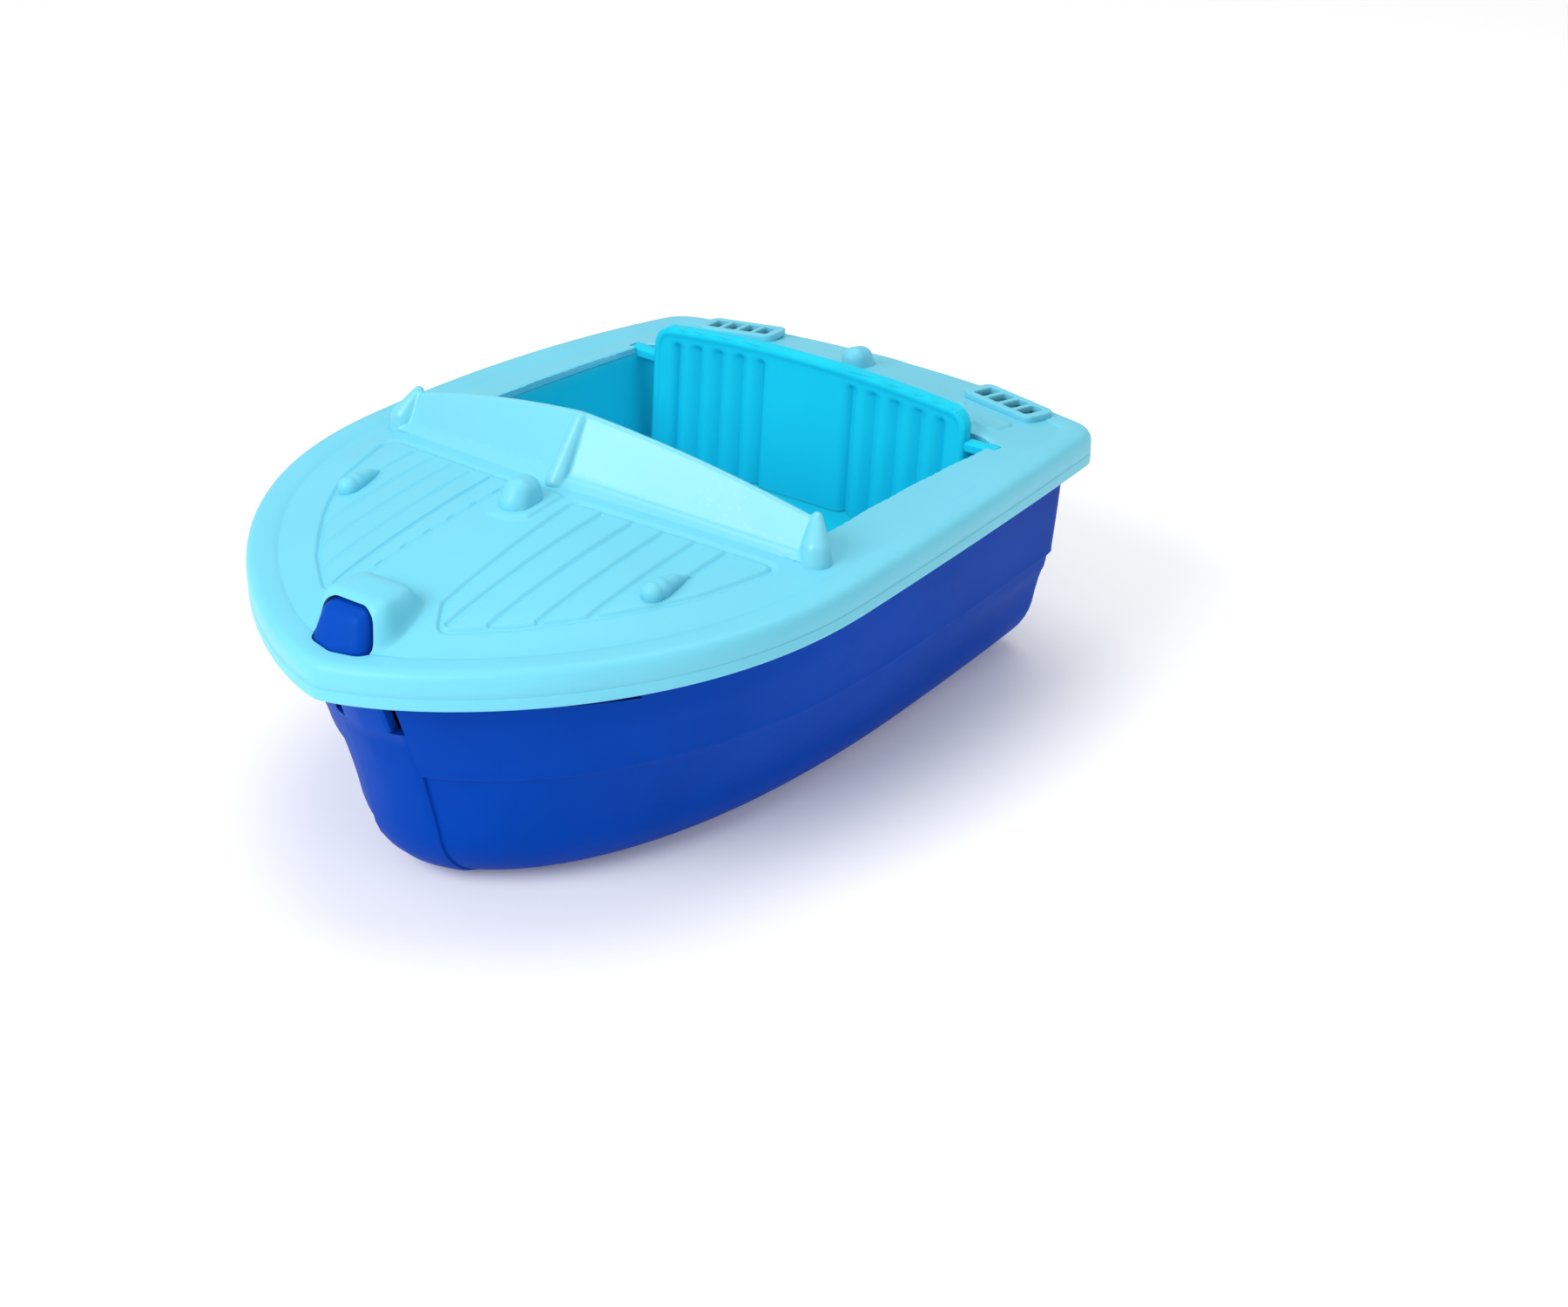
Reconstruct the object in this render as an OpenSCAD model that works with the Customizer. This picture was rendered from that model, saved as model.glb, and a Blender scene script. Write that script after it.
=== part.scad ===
// Toy motor boat: a blue hull with a sprung bow latch, and a light blue deck with a deep cockpit.
// +X points to the bow, +Y to port, +Z up. The flat bottom rests on z = 0.

/* [Deck outline] */
// Bow tip, forward of the middle
bow_x = 125; // [118:0.5:130]
// Stern corners, aft of the middle
stern_x = 114.6; // [110:0.1:118]
// How far the transom bows out aft of its corners
stern_bow = 10.4; // [6:0.1:13]
// Half of the greatest beam
half_beam = 86; // [82:0.5:90]
// Where the beam is greatest
beam_x = 14.7; // [8:0.1:22]
// Radius of the stern corners
stern_r = 12; // [9:0.5:14]
// Taper of the beam towards the stern, per mm squared
taper = 0.00063; // [0.0004:0.00001:0.0008]

/* [Deck] */
// Height of the deck edge where it is highest
deck_z = 80.7; // [76:0.1:86]
// Fall of the deck edge towards both ends, per mm squared
hog = 0.00045; // [0.0003:0.00001:0.0006]
// Slope of the deck up to its centre ridge, forward
roof = 0.13; // [0.08:0.01:0.15]
// Thickness of the deck moulding
deck_t = 2.2; // [1.8:0.1:2.6]
// Height of the overhanging lip
lip_h = 10.3; // [8:0.1:12]
// Rounding of the lip's top edge
lip_r = 4.3; // [3:0.1:5]

/* [Hull] */
// Wall thickness
wall = 2.4; // [2:0.1:3]
// Inset of the hull side under the deck lip
inset = 5; // [4.6:0.1:6]
// Bilge radius, side to bottom
bilge_r = 20.3; // [18:0.1:21]
// Height of the strake, amidships
strake_z = 40; // [36:0.5:44]
// How far the upper side stands proud of the lower
strake_step = 1.1; // [0.6:0.1:1.6]
// Width of the stem strip
stem_w = 23; // [20:0.5:25]

/* [Bow latch] */
// Height of the latch's root, at the foot of the two slots
latch_z = 52; // [50:0.5:55]
// Width of the latch
latch_w = 15.6; // [14:0.1:16]
// Width of the thumb nose
nose_w = 17; // [15:0.5:17.5]
// Gap around the nose
nose_gap = 0.9; // [0.6:0.1:1.2]

/* [Cockpit] */
// Front edge of the opening
cockpit_front = 12; // [6:0.5:14]
// Rear edge of the opening
cockpit_rear = -80; // [-82:0.5:-79]
// Half width of the opening
cockpit_half = 63.5; // [60:0.5:65]
// Height of the floor
floor_z = 44; // [40:0.5:50]
// Wall thickness of the tub
tub_t = 1.8; // [1.4:0.1:2.4]

/* [Fittings] */
// Windscreen thickness
screen_t = 2.4; // [1.8:0.1:3]
// Height of the windscreen at its middle, above the deck
screen_h = 16.9; // [12:0.1:20]
// Height of the windscreen at its ends, above the deck
screen_end_h = 11.5; // [8:0.1:14]
// Length of a stern vent, athwart
vent_l = 25.5; // [22:0.5:28]
// Width of a stern vent
vent_w = 12.5; // [11:0.5:14]

/* [Hidden] */
$fn = 32;
bow_steps = 20;
side_steps = 12;
corner_steps = 6;
transom_steps = 5;
fit = 0.3;

// ---- outline: a superellipse forward, a parabola aft, round stern corners, a bowed transom ----
// o = [tip x, widest x, half beam, bow power, beam power, taper, stern corner x, corner radius, transom bow]
deck_o = [bow_x, beam_x, half_beam, 2.27, 1.39, taper, stern_x, stern_r, stern_bow];

function half_ring(o) =
  let (a0 = atan(2 * o[5] * (o[1] + o[6])))
  let (a1 = 90 - atan(2.5 * o[8] / o[2]))
  let (x0 = -o[6] + o[7] * (sin(a1) - sin(a0)))
  let (y0 = o[2] - o[5] * pow(x0 - o[1], 2))
  let (cx = x0 + o[7] * sin(a0))
  let (cy = y0 - o[7] * cos(a0))
  let (ex = cx - o[7] * sin(a1))
  let (ey = cy + o[7] * cos(a1))
  concat(
    [for (i = [0 : bow_steps - 1]) let (t = 90 * i / bow_steps)
      [o[1] + (o[0] - o[1]) * pow(cos(t), 2 / o[3]), o[2] * pow(sin(t), 2 / o[4])]],
    [for (i = [0 : side_steps - 1]) let (x = o[1] + (x0 - o[1]) * i / side_steps)
      [x, o[2] - o[5] * pow(x - o[1], 2)]],
    [for (i = [0 : corner_steps - 1]) let (a = a0 + (a1 - a0) * i / corner_steps)
      [cx - o[7] * sin(a), cy + o[7] * cos(a)]],
    [for (i = [0 : transom_steps]) let (y = ey * (1 - i / transom_steps))
      [ex - o[8] * (1 - pow(y / ey, 2)), y]]);

function full_ring(h) = concat(h, [for (i = [len(h) - 2 : -1 : 1]) [h[i][0], -h[i][1]]]);

// The same outline drawn in by d all round
function inner(o, d) = [o[0] - d, o[1], o[2] - d, o[3], o[4], o[5], o[6] - d, max(1, o[7] - d), o[8]];

// Half width of the deck at x
function half_at(x) = x > beam_x
  ? half_beam * pow(max(0, 1 - pow(min(1, (x - beam_x) / (bow_x - beam_x)), deck_o[3])), 1 / deck_o[4])
  : half_beam - taper * pow(x - beam_x, 2);

// ---- deck height: the edge falls to bow and stern, and the inner deck rises to a soft centre ridge ----
hog_x = 27.3;
rim_w = 12;
ridge_r = 6;
function sheer(x) = deck_z - hog * pow(x - hog_x, 2);
function slope_at(x) = x > 0 ? roof : max(0.05, roof + 0.0009 * x);
function soft_abs(y) = sqrt(y * y + ridge_r * ridge_r) - 1;
function deck_at(x, y) = sheer(x) + slope_at(x) * max(0, half_at(x) - rim_w - soft_abs(y));

// ---- a closed solid from rings of equal length, the first ring lowest ----
module loft(rings) {
  n = len(rings[0]);
  m = len(rings);
  points = [for (r = rings) each r];
  sides = [for (k = [0 : m - 2], i = [0 : n - 1]) each
    let (a = k * n + i, b = k * n + (i + 1) % n)
    [[a, b + n, b], [a, a + n, b + n]]];
  foot = [[for (i = [0 : n - 1]) i]];
  head = [[for (i = [n - 1 : -1 : 0]) (m - 1) * n + i]];
  polyhedron(points, concat(foot, sides, head), convexity = 6);
}

// ---- hull form ----
// Outline at four heights: [height, outline]. The stem rakes forward, and the sides flare most amidships.
hull_keys = [
  [19, [100, -50, 64, 2.5, 1.9, 0.0003, 107, 7, 7]],
  [strake_z, [104, -15, 72, 2.4, 1.65, 0.0006, 107, 9, 8]],
  [58, [110, 5, half_beam - inset - 4.5, 2.3, 1.5, taper, 107, 10, 9]],
  [deck_z - 4, [116, beam_x, half_beam - inset - 1, 2.27, 1.4, taper + 0.0001, stern_x - 6, 11, 9.5]]];
function mix(a, b, t) = a * (1 - t) + b * t;
function hull_o(z, k = 0) =
  z <= hull_keys[0][0] ? hull_keys[0][1] :
  z <= hull_keys[k + 1][0] || k == len(hull_keys) - 2
    ? let (z0 = hull_keys[k][0], z1 = hull_keys[k + 1][0])
      mix(hull_keys[k][1], hull_keys[k + 1][1], (z - z0) / (z1 - z0))
    : hull_o(z, k + 1);
// Drawn in round the bilge; the transom foot has a tighter turn than the sides
function bilge(z) = z >= bilge_r ? 0 : bilge_r - sqrt(bilge_r * bilge_r - pow(bilge_r - z, 2));
function bilge_o(o, d) =
  [o[0] - d, o[1], o[2] - d, o[3], o[4], o[5], o[6] - d * 0.35, max(1.5, o[7] - d * 0.2), o[8]];
function hull_half(z, out) = half_ring(bilge_o(hull_o(z), bilge(z) - out));
// follow: how much a ring's height follows the deck edge's fall
function hull_ring(z, out, follow) =
  [for (q = full_ring(hull_half(z, out))) [q[0], q[1], z - follow * (deck_z - sheer(q[0]))]];
low_z = [0, 1.2, 4, 8.5, 13.5, bilge_r, 29];

// One skin: up the outside, over the top edge and down the inside
module hull_skin() {
  outer = concat(
    [for (z = low_z) hull_ring(z, 0, 0)],
    [hull_ring(strake_z - 0.6, 0, 0.7), hull_ring(strake_z + 0.6, strake_step, 0.7)],
    [hull_ring(58, strake_step, 0.9), hull_ring(deck_z - 3.6, strake_step, 1)]);
  inside = concat(
    [hull_ring(deck_z - 3.6, strake_step - wall, 1), hull_ring(58, strake_step - wall, 0.9)],
    [hull_ring(strake_z, -wall, 0.7)],
    [for (z = [29, bilge_r, 13.5, 8.5, 4]) raised(hull_ring(z, -wall, 0), 0.8)],
    [raised(hull_ring(0.5, -wall, 0), wall - 0.5)]);
  loft(concat(outer, inside));
}
function raised(ring, dz) = [for (q = ring) [q[0], q[1], q[2] + dz]];

// ---- stem: the strip below, and the springy latch tongue above it ----
// Front of the stem at height z and distance y from the middle, grown by out
function stem_x(z, y) = let (o = hull_o(z), b = bilge(z))
  (o[0] - b + strake_step) - (o[0] - b - o[1]) * (1 - pow(1 - pow(abs(y) / (o[2] - b), o[4]), 1 / o[3]));
function stem_section(z, w, t) = concat(
  [for (k = [-2 : 2]) [stem_x(z, k * w / 4), k * w / 4, z]],
  [for (k = [2 : -1 : -2]) [stem_x(z, k * w / 4) - t, k * w / 4, z]]);

module stem_strip() {
  levels = [0, 1.5, 5, 11, bilge_r, 30, 41, latch_z];
  for (i = [0 : len(levels) - 2]) hull()
    loft([for (k = [0, 1]) stem_section(levels[i + k], stem_w, wall)]);
}

// Snap windows in the hull side, just under the deck lip
window_l = 15;
window_h = 4.4;
module snap_window(side) {
  translate([82, side * 53.5, deck_z - lip_h - 4.4]) rotate([0, 0, -side * 42]) hull() for (k = [-1, 1])
    translate([k * (window_l / 2 - 1), 0, 0]) cube([2, 16, window_h], center = true);
}

module hull_shell() color([0.0, 0.24, 0.66]) difference() {
  union() {
    hull_skin();
    stem_strip();
  }
  // the bow is open above the latch's root
  translate([88, -stem_w / 2, latch_z]) cube([45, stem_w, 40]);
  for (side = [-1, 1]) snap_window(side);
}

// The thumb nose: a soft wedge, narrower at its top
nose_x = 117;
module nose_form(grow, room) {
  hull() for (s = [-1, 1]) {
    translate([nose_x - 4 + grow, s * (nose_w / 2 - 3.4), 72 - room]) cylinder(r = 3.4 + grow, h = 5 + room);
    translate([106.5 - room, s * (nose_w / 2 - 3.4), 72 - room]) cylinder(r = 3.4 + grow, h = 5 + room);
    translate([nose_x - 6 + grow, s * (nose_w / 2 - 4.6), 82.9]) sphere(r = 3.4 + grow);
    translate([107.5 - room, s * (nose_w / 2 - 4.6), 82.9]) sphere(r = 3.4 + grow);
  }
}

root_gap = 0.5;
module bow_latch() color([0.0, 0.36, 0.8]) {
  // the springy tongue is the upper part of the stem
  levels = [latch_z + root_gap, 54.5, 57, 60, 63, 66, 69, 72];
  for (i = [0 : len(levels) - 2]) hull()
    loft([for (k = [0, 1]) stem_section(levels[i + k], latch_w, wall)]);
  nose_form(0, 0);
}

// Hooks under the deck that reach into the hull's snap windows
module deck_hook(side) {
  translate([78.9, side * 50.1, deck_z - lip_h - 4]) rotate([0, 0, -side * 42]) {
    hull() for (k = [-1, 1]) translate([k * 5.5, 0, 5.5]) cube([1, 2, 14], center = true);
    hull() for (k = [-1, 1]) translate([k * 5.5, side * 1.8, -0.8]) cube([1, 3.4, 2], center = true);
  }
}

// ---- deck ----
// The lip stands this much above the sheet inside it
lip_proud = 0.15;
lip_profile = [
  [6.2, 0], [lip_r, 0], [lip_r * 0.62, -lip_r * 0.08], [lip_r * 0.29, -lip_r * 0.29],
  [lip_r * 0.08, -lip_r * 0.62],
  [0, -lip_r], [0, -lip_h + 0.9], [0.9, -lip_h], [deck_t, -lip_h], [deck_t + 0.4, -3.4],
  [6.2, -deck_t - 2 * lip_proud]];

module lip() {
  rings = [for (q = lip_profile)
    [for (w = full_ring(half_ring(inner(deck_o, q[0])))) [w[0], w[1], sheer(w[0]) + q[1] + lip_proud]]];
  n = len(rings[0]);
  m = len(rings);
  points = [for (r = rings) each r];
  faces = [for (k = [0 : m - 1], i = [0 : n - 1]) each
    let (a = k * n + i, b = k * n + (i + 1) % n, c = ((k + 1) % m) * n + i,
       d = ((k + 1) % m) * n + (i + 1) % n)
    [[a, b, d], [a, d, c]]];
  polyhedron(points, faces, convexity = 8);
}

grid_x = 7;
grid_y = 6.5;
// A sheet that follows the deck surface, from lo to hi above it
module deck_sheet(x0, x1, y1, lo, hi) {
  nx = ceil((x1 - x0) / grid_x);
  ny = 2 * ceil(y1 / grid_y);
  pts = function (dz) [for (i = [0 : nx], j = [0 : ny])
    let (x = x0 + (x1 - x0) * i / nx, y = -y1 + 2 * y1 * j / ny) [x, y, deck_at(x, y) + dz]];
  k = (nx + 1) * (ny + 1);
  w = ny + 1;
  top = [for (i = [0 : nx - 1], j = [0 : ny - 1]) each let (a = i * w + j)
    [[a, a + 1, a + w + 1], [a, a + w + 1, a + w]]];
  low = [for (f = top) [f[2] + k, f[1] + k, f[0] + k]];
  rim = concat([for (j = [0 : ny - 1]) j], [for (i = [0 : nx - 1]) i * w + ny],
    [for (j = [ny : -1 : 1]) nx * w + j], [for (i = [nx : -1 : 1]) i * w]);
  n = len(rim);
  skirt = [for (i = [0 : n - 1]) each
    let (a = rim[i], b = rim[(i + 1) % n])
    [[a, a + k, b + k], [a, b + k, b]]];
  polyhedron(concat(pts(hi), pts(lo)), concat(top, low, skirt), convexity = 6);
}

// Plank grooves in the foredeck run fore and aft
planks = 5;
plank_y = 18.7;
plank_w = 8.45;
plank_x0 = 38;
groove_w = 1.3;
groove_d = 0.7;
function plank_end(y) = y > 50 ? 46.5 : y > 43 ? 74 : y > 34 ? 84.5 : y > 26 ? 92.5 : 99;
module groove(y, x0, x1) {
  loft([for (t = [0 : 0.125 : 1]) let (x = mix(x0, x1, t), z = deck_at(x, y), h = groove_w / 2)
    [[x, y - h, z - groove_d], [x, y + h, z - groove_d], [x, y + h, z + 3], [x, y - h, z + 3]]]);
}

cockpit_r = 6;

hood_base_z = 75;
module hood() {
  hull() for (s = [-1, 1]) {
    translate([109.4, s * 6.5, 83.8]) sphere(r = 4.6);
    translate([112.8, s * 6.7, hood_base_z]) cylinder(r = 4.2, h = 3);
    translate([100, s * 5.6, 84.2]) sphere(r = 4.8);
    translate([96.5, s * 5.6, hood_base_z]) cylinder(r = 5.2, h = 5);
  }
}

module deck_shell() color([0.5, 0.85, 0.95]) difference() {
  union() {
    lip();
    intersection() {
      deck_sheet(-126, 126, 88, -deck_t, 0);
      linear_extrude(100) polygon(full_ring(half_ring(inner(deck_o, lip_r + 0.9))));
    }
    hood();
    for (side = [-1, 1]) {
      deck_hook(side);
      // a flat pad behind each corner of the seat
      translate([-90.5, side * 53.5, deck_at(-90.5, 53.5)]) rotate([0, -5, 0]) hull() for (k = [-1, 1])
        translate([0, k * 1.8, -1]) cylinder(r = 3.6, h = 1.7);
    }
  }
  // plank grooves in the foredeck panels
  for (side = [-1, 1], k = [0 : planks - 1])
    groove(side * (plank_y + k * plank_w), plank_x0, plank_end(plank_y + k * plank_w));
  // the hood is hollow, and open at the front for the latch's nose
  hull() for (s = [-1, 1]) {
    translate([106, s * 4.5, 81.2]) sphere(r = 4.5);
    translate([108, s * 4.5, 60]) cylinder(r = 4.5, h = 1);
    translate([101, s * 3.9, 81.2]) sphere(r = 4.5);
    translate([101, s * 3.9, 60]) cylinder(r = 4.5, h = 1);
  }
  nose_form(nose_gap, 3.6);
  // cockpit opening
  translate([0, 0, 40]) linear_extrude(70) polygon(cockpit_ring(0, cockpit_r));
  // notches for the seat's ears
  for (s = [-1, 1]) translate([-75, s * 62, 77]) cube([7 + 2 * fit, 9, 12], center = true);
  // wells under the vents
  for (s = [-1, 1]) vent_place(s) hull() for (k = [-1, 1])
    translate([0, k * (vent_l / 2 - 4), 0]) cube([vent_w - 4, 4, 12], center = true);
}

// ---- windscreen: one leaning sheet in a shallow V, with three posts ----
screen_mid = [33.7, 0];
screen_end = [18, 70];
lean_mid = 10.8;
lean_end = 4.3;
screen_steps = 12;
function screen_base(v) = let (q = mix(screen_mid, screen_end, abs(v)))
  [q[0], q[1] * sign(v), deck_at(q[0], q[1])];
function screen_top(v) = let (b = screen_base(v), a = abs(v), h = screen_h * (1 - a) + screen_end_h * a
    - 0.6 * sin(180 * a))
  [b[0] - mix(lean_mid, lean_end, a), b[1] * 0.96, b[2] + h];

module post(v, r0, r1) {
  b = screen_base(v);
  t = screen_top(v);
  hull() {
    translate([b[0], b[1], b[2]]) sphere(r = r0);
    translate(t + [0, 0, 0.2 - r1]) sphere(r = r1);
  }
}

module windscreen() color([0.66, 0.93, 0.99]) {
  rows = [for (i = [-screen_steps : screen_steps]) let (v = i / screen_steps * 0.99)
    let (b = screen_base(v), t = screen_top(v), h = screen_t / 2)
    [[b[0] + h + 0.8, b[1], b[2] - 0.6], [b[0] + h, b[1], b[2] + 1], [t[0] + h * 0.8, t[1], t[2] - 0.8],
     [t[0], t[1], t[2]], [t[0] - h * 0.8, t[1], t[2] - 0.8], [b[0] - h, b[1], b[2] + 1],
     [b[0] - h - 0.8, b[1], b[2] - 0.6]]];
  for (i = [0 : 2 * screen_steps - 1]) hull() loft([rows[i], rows[i + 1]]);
  post(-0.995, 3.9, 1.6);
  post(0.995, 3.9, 1.6);
  post(0, 2.8, 1.8);
}

// ---- cockpit ----
draft = 3;
// Plan of the cockpit as points, counted round from the stern side
function cockpit_ring(grow, corner) =
  let (r = corner)
  let (c = [[cockpit_rear - grow + r, -(cockpit_half - 1.5 + grow - r), 180],
    [cockpit_front + grow - r, -(cockpit_half + 0.5 + grow - r), 270],
    [cockpit_front + grow - r, cockpit_half + 0.5 + grow - r, 0],
    [cockpit_rear - grow + r, cockpit_half - 1.5 + grow - r, 90]])
  let (arcs = [for (q = c) [for (a = [0 : 18 : 90]) [q[0] + r * cos(q[2] + a), q[1] + r * sin(q[2] + a)]]])
  // each side bows out a little
  [for (k = [0 : 3]) each concat(arcs[k], [for (t = [0.1 : 0.1 : 0.9]) let (a = c[k][2] + 90)
    mix(arcs[k][5], arcs[(k + 1) % 4][0], t) + 0.5 * sin(180 * t) * [cos(a), sin(a)]])];
function at_height(ring, z) = [for (q = ring) [q[0], q[1], z]];
function under_deck(ring) = [for (q = ring) [q[0], q[1], deck_at(q[0], q[1]) - deck_t - 0.05]];

// A deep tray that hangs under the deck opening
module cockpit_tub() color([0.1, 0.75, 0.92]) loft([
  at_height(cockpit_ring(tub_t - draft, cockpit_r), floor_z - tub_t),
  under_deck(cockpit_ring(tub_t, cockpit_r + tub_t)),
  under_deck(cockpit_ring(0, cockpit_r)),
  at_height(cockpit_ring(-draft, cockpit_r), floor_z)]);

// Seat back: an upright panel with scalloped pleats each side of a plain middle
pleats = 4;
pleat_w = 7.8;
pleat_y0 = 15.8;
pleat_d = 2;
seat_half = 55;
seat_t = 3;
seat_top_x = -74;
seat_lean = 0.1;
seat_corner = 8;
seat_crown = 3.4;
seat_top_z = 83.8;
pleat_top = 79;
function seat_x(z) = seat_top_x + seat_lean * (seat_top_z - z);
function seat_edge(y) = let (over = max(0, abs(y) - (seat_half - seat_corner)))
  seat_top_z + seat_crown * (1 - pow(y / seat_half, 2))
    - (seat_corner - sqrt(pow(seat_corner, 2) - pow(over, 2)));

// One slice across the panel: its front face stands forward by d
module seat_slab(y0, y1, z0, z1, d) {
  hull() for (z = [z0, z1 - 0.1])
    translate([seat_x(z) - seat_t, y0, z]) cube([seat_t - pleat_d + d, y1 - y0, 0.1]);
}

module pleat(s, k) {
  y = pleat_y0 + (k + 0.5) * pleat_w;
  hull() for (z = [floor_z, pleat_top]) translate([seat_x(z) - pleat_d, s * y, z])
    scale([pleat_d * 2 / pleat_w, 1, 1]) cylinder(d = pleat_w, h = 0.1);
}

module rear_seat() color([0.0, 0.7, 0.9]) {
  outline = concat([[-seat_half, floor_z + 0.1]],
    [for (y = [-seat_half : 2.5 : seat_half]) [y, seat_edge(y)]],
    [[seat_half, floor_z + 0.1]]);
  pleat_y1 = pleat_y0 + pleats * pleat_w;
  intersection() {
    union() {
      seat_slab(-seat_half, seat_half, floor_z, 92, 0);
      seat_slab(-seat_half, seat_half, pleat_top, 92, pleat_d);
      seat_slab(-pleat_y0, pleat_y0, floor_z, 92, pleat_d);
      for (s = [-1, 1]) {
        seat_slab(min(s * pleat_y1, s * seat_half), max(s * pleat_y1, s * seat_half), floor_z, 92, pleat_d);
        for (k = [0 : pleats - 1]) pleat(s, k);
      }
    }
    rotate([90, 0, 90]) translate([0, 0, -100]) linear_extrude(60) polygon(outline);
  }
  // ears that rest in the deck's notches
  for (s = [-1, 1]) translate([seat_x(76) - 1.5, s * 59, 76.4]) cube([4, 10, 2], center = true);
}

// ---- stern vents ----
vent_x = -108;
vent_y = 48;
vent_turn = 9;
vent_h = 1.5;
module vent_place(s) {
  translate([vent_x, s * vent_y, deck_at(vent_x, vent_y)]) rotate([0, 0, -s * vent_turn])
    rotate([-s * 2.5, -7, 0])
    children();
}

module vent(s) color([0.5, 0.84, 0.94]) vent_place(s) difference() {
  hull() for (a = [-1, 1], b = [-1, 1])
    translate([a * (vent_w / 2 - 2.6), b * (vent_l / 2 - 2.6), -0.2]) cylinder(r = 2.6, h = vent_h + 0.2);
  for (k = [-1.5 : 1.5]) translate([0, k * 5.1, 0]) cube([vent_w - 4.4, 3.4, 12], center = true);
}
module vent_port() vent(1);
module vent_starboard() vent(-1);

// ---- small fittings, each sunk a little into the deck it is moulded on ----
// Horn: a half egg on a thin plate with a blunt front
horn_x = 49;
horn_h = 7;
module bow_horn() color([0.55, 0.87, 0.96])
  translate([horn_x, 0, deck_at(horn_x, 0)]) rotate([0, 4, 0]) {
    translate([0, 0, -0.8]) linear_extrude(1.6)
      polygon([[-9, -6.2], [5, -6.2], [8.4, -3], [8.4, 3], [5, 6.2], [-9, 6.2]]);
    translate([0, 0, horn_h - 4.3]) sphere(r = 4.3);
    translate([0, 0, -0.8]) cylinder(r1 = 4.6, r2 = 4.3, h = horn_h - 3.5);
  }

// Deck lamps: a ball lens, a thin ring and a tapering body
lamp_x = 59;
lamp_y = 51;
lamp_r = 2.9;
lamp_turn = 6;
module lamp(s) color([0.6, 0.9, 0.97])
  translate([lamp_x, s * lamp_y, deck_at(lamp_x, lamp_y) + 0.8]) rotate([0, 0, -s * lamp_turn])
    rotate([0, -90, 0]) {
    sphere(r = lamp_r);
    cylinder(r1 = lamp_r, r2 = 0.9, h = 13);
    translate([0, 0, 1.6]) cylinder(r = lamp_r + 0.35, h = 0.7);
  }
module lamp_port() lamp(1);
module lamp_starboard() lamp(-1);

// A round-topped knob on the stern deck
knob_x = -100;
knob_h = 7;
module stern_knob() color([0.5, 0.84, 0.94]) translate([knob_x, 0, deck_at(knob_x, 0)]) rotate([0, -7, 0]) {
  translate([0, 0, knob_h - 3.7]) sphere(r = 3.7);
  translate([0, 0, -0.8]) cylinder(r1 = 4, r2 = 3.7, h = knob_h - 2.9);
}

hull_shell();
bow_latch();
deck_shell();
windscreen();
cockpit_tub();
rear_seat();
vent_port();
vent_starboard();
bow_horn();
lamp_port();
lamp_starboard();
stern_knob();
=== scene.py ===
import math

import bmesh
import bpy
import numpy as np
from mathutils import Matrix, Vector
from mathutils.bvhtree import BVHTree


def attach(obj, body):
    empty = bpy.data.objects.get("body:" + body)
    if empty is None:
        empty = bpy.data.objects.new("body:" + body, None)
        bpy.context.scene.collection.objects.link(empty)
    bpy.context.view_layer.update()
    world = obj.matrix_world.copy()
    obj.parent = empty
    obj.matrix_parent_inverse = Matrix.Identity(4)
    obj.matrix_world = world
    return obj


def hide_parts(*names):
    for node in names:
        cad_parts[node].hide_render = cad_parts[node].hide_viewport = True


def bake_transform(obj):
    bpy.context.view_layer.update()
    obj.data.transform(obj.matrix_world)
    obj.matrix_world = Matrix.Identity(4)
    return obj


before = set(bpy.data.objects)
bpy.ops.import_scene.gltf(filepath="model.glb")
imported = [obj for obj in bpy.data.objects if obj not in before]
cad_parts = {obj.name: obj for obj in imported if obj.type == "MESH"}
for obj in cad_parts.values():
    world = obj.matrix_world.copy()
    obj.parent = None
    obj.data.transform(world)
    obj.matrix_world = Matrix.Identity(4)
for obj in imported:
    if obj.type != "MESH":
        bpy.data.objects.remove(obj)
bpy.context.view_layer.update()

# Lengths below are in millimetres, with +X to the bow, +Y to port and +Z up; make() turns them into metres.
MM = 0.001
# Grid of the deck's height field, and voxels of the small mouldings
CELL = 0.45
FINE = 0.4


# ---------------------------------------------------------------- mesh helpers
def make(name, verts, faces):
    """A mesh object from millimetre points."""
    me = bpy.data.meshes.new(name)
    me.from_pydata((np.asarray(verts, float) * MM).tolist(), [], [tuple(f) for f in faces])
    me.validate()
    ob = bpy.data.objects.new(name, me)
    bpy.context.scene.collection.objects.link(ob)
    bm = bmesh.new()
    bm.from_mesh(me)
    bmesh.ops.recalc_face_normals(bm, faces=bm.faces)
    bm.to_mesh(me)
    bm.free()
    return ob


def bake(ob):
    """Applies ob's modifiers."""
    dg = bpy.context.evaluated_depsgraph_get()
    me = bpy.data.meshes.new_from_object(ob.evaluated_get(dg))
    ob.modifiers.clear()
    old, ob.data = ob.data, me
    bpy.data.meshes.remove(old)
    return ob


def combine(a, others, operation):
    """Joins solids to a, or cuts them from it."""
    for b in others:
        m = a.modifiers.new("combine", "BOOLEAN")
        m.object, m.operation, m.solver = b, operation, "MANIFOLD"
        bake(a)
        bpy.data.objects.remove(b)
    return a


def moulded(ob, voxel, rounds, factor=0.5):
    """Melts ob into one skin with the small soft corners of a moulding."""
    m = ob.modifiers.new("skin", "REMESH")
    m.mode, m.voxel_size = "VOXEL", voxel * MM
    s = ob.modifiers.new("soften", "SMOOTH")
    s.factor, s.iterations = factor, rounds
    return bake(ob)


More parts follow.
